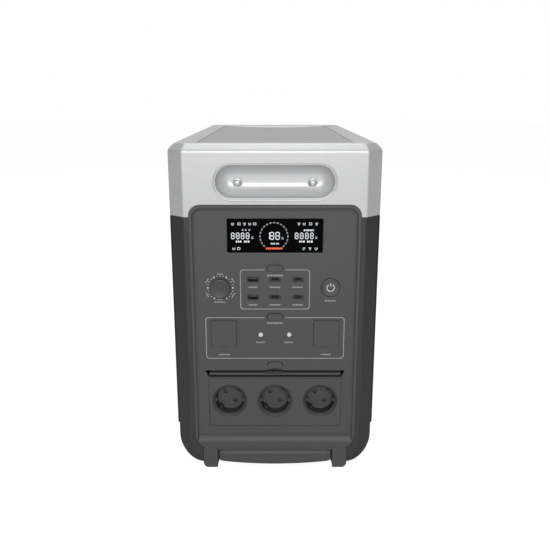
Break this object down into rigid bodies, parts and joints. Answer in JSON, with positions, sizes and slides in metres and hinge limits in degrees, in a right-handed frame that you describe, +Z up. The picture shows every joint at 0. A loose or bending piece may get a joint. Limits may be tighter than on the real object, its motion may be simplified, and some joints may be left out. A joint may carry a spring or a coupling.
{
  "type": "power station",
  "caption": "Wheeled portable power station: tall dark casing with a silver top, front control panel, mains outlets, grip recesses and a pull-out handle.",
  "frame": {"origin": "on the ground, under the middle of the casing", "axes": "+Z up, front panel faces -Y, +X to the right as seen from the front"},
  "size_m": [0.28, 0.609, 0.46],
  "materials": {
    "silver_shell": "satin silver paint on moulded plastic, fine grain",
    "grey_lid": "satin grey moulded plastic, lightly textured",
    "charcoal_case": "dark charcoal moulded plastic, fine spark texture",
    "graphite_panel": "graphite grey moulded plastic, fine matte texture",
    "black_glass": "glossy black cover glass",
    "black_plastic": "black engineering plastic",
    "white_lamp": "milky white light guide",
    "black_rubber": "black rubber",
    "bright_steel": "bright plated steel",
    "tube_aluminium": "satin anodised tube",
    "cell_pack": "wrapped metal cans",
    "circuit_board": "green solder mask",
    "white_print": "screen-printed white ink"
  },
  "bodies": {
    "casing": {"ac_inlet": "black_plastic", "axle": "bright_steel", "battery_pack": "cell_pack", "control_board": "circuit_board", "display_module": "black_plastic", "display_window": "black_glass", "door_guide": "black_plastic", "earth_clip_left": "bright_steel", "earth_clip_middle": "bright_steel", "earth_clip_right": "bright_steel", "expansion_socket_left": "black_plastic", "expansion_socket_right": "black_plastic", "fan_frame": "black_plastic", "front_foot_left": "charcoal_case", "front_foot_right": "charcoal_case", "front_frame": "graphite_panel", "front_grip_cup": "silver_shell", "front_panel": "graphite_panel", "grip_screw_front_left": "bright_steel", "grip_screw_front_right": "bright_steel", "grip_screw_rear_left": "bright_steel", "grip_screw_rear_right": "bright_steel", "guide_tube_left": "tube_aluminium", "guide_tube_right": "tube_aluminium", "indicator_lens_left": "white_lamp", "indicator_lens_right": "white_lamp", "inverter_module": "cell_pack", "lower_shell": "charcoal_case", "outlet_left": "charcoal_case", "outlet_middle": "charcoal_case", "outlet_plate": "graphite_panel", "outlet_right": "charcoal_case", "rear_grip_cup": "silver_shell", "rear_panel": "graphite_panel", "side_panel_left": "charcoal_case", "side_panel_right": "charcoal_case", "top_lid": "grey_lid", "upper_shell": "silver_shell", "usb_a_port_lower": "black_plastic", "usb_a_port_upper": "black_plastic", "usb_c_port_inner_lower": "black_plastic", "usb_c_port_inner_upper": "black_plastic", "usb_c_port_outer_lower": "black_plastic", "usb_c_port_outer_upper": "black_plastic"},
    "regulator": {"regulator_knob": "charcoal_case"},
    "usb_switch": {"usb_button": "graphite_panel"},
    "ac_switch": {"ac_button": "graphite_panel"},
    "outlet_switch": {"outlet_button": "graphite_panel"},
    "power_switch": {"power_button": "graphite_panel"},
    "left_cover": {"port_cover_left": "graphite_panel"},
    "right_cover": {"port_cover_right": "graphite_panel"},
    "door": {"outlet_door": "graphite_panel"},
    "left_wheel": {"tyre_left": "black_rubber", "wheel_hub_left": "charcoal_case"},
    "right_wheel": {"tyre_right": "black_rubber", "wheel_hub_right": "charcoal_case"},
    "pull_handle": {"pull_grip": "charcoal_case", "handle_tube_left": "tube_aluminium", "handle_tube_right": "tube_aluminium"},
    "fan": {"fan_rotor": "black_plastic"}
  },
  "joints": [
    {"name": "regulator_turn", "type": "hinge", "parent": "casing", "child": "regulator", "pos_m": [-0.0736, -0.3, 0.2688], "axis": [0, 1, 0], "range_deg": [-150, 150]},
    {"name": "usb_press", "type": "slide", "parent": "casing", "child": "usb_switch", "axis": [0, 1, 0], "range_m": [0, 0.0015], "stiffness_N_per_m": 300},
    {"name": "ac_press", "type": "slide", "parent": "casing", "child": "ac_switch", "axis": [0, 1, 0], "range_m": [0, 0.0015], "stiffness_N_per_m": 300},
    {"name": "outlet_press", "type": "slide", "parent": "casing", "child": "outlet_switch", "axis": [0, 1, 0], "range_m": [0, 0.0015], "stiffness_N_per_m": 300},
    {"name": "power_press", "type": "slide", "parent": "casing", "child": "power_switch", "axis": [0, 1, 0], "range_m": [0, 0.0015], "stiffness_N_per_m": 300},
    {"name": "left_cover_hinge", "type": "hinge", "parent": "casing", "child": "left_cover", "pos_m": [-0.07, -0.2985, 0.2222], "axis": [-1, 0, 0], "range_deg": [0, 100]},
    {"name": "right_cover_hinge", "type": "hinge", "parent": "casing", "child": "right_cover", "pos_m": [0.07, -0.2985, 0.2222], "axis": [-1, 0, 0], "range_deg": [0, 100]},
    {"name": "door_slide", "type": "slide", "parent": "casing", "child": "door", "axis": [0, -1, 0], "range_m": [0, 0.07]},
    {"name": "left_wheel_spin", "type": "hinge", "parent": "casing", "child": "left_wheel", "pos_m": [-0.119, 0.2565, 0.048], "axis": [1, 0, 0], "continuous": true},
    {"name": "right_wheel_spin", "type": "hinge", "parent": "casing", "child": "right_wheel", "pos_m": [0.119, 0.2565, 0.048], "axis": [1, 0, 0], "continuous": true},
    {"name": "handle_slide", "type": "slide", "parent": "casing", "child": "pull_handle", "axis": [0, -1, 0], "range_m": [0, 0.33]},
    {"name": "fan_spin", "type": "hinge", "parent": "casing", "child": "fan", "pos_m": [0.03, 0.28, 0.245], "axis": [0, 1, 0], "continuous": true}
  ]
}
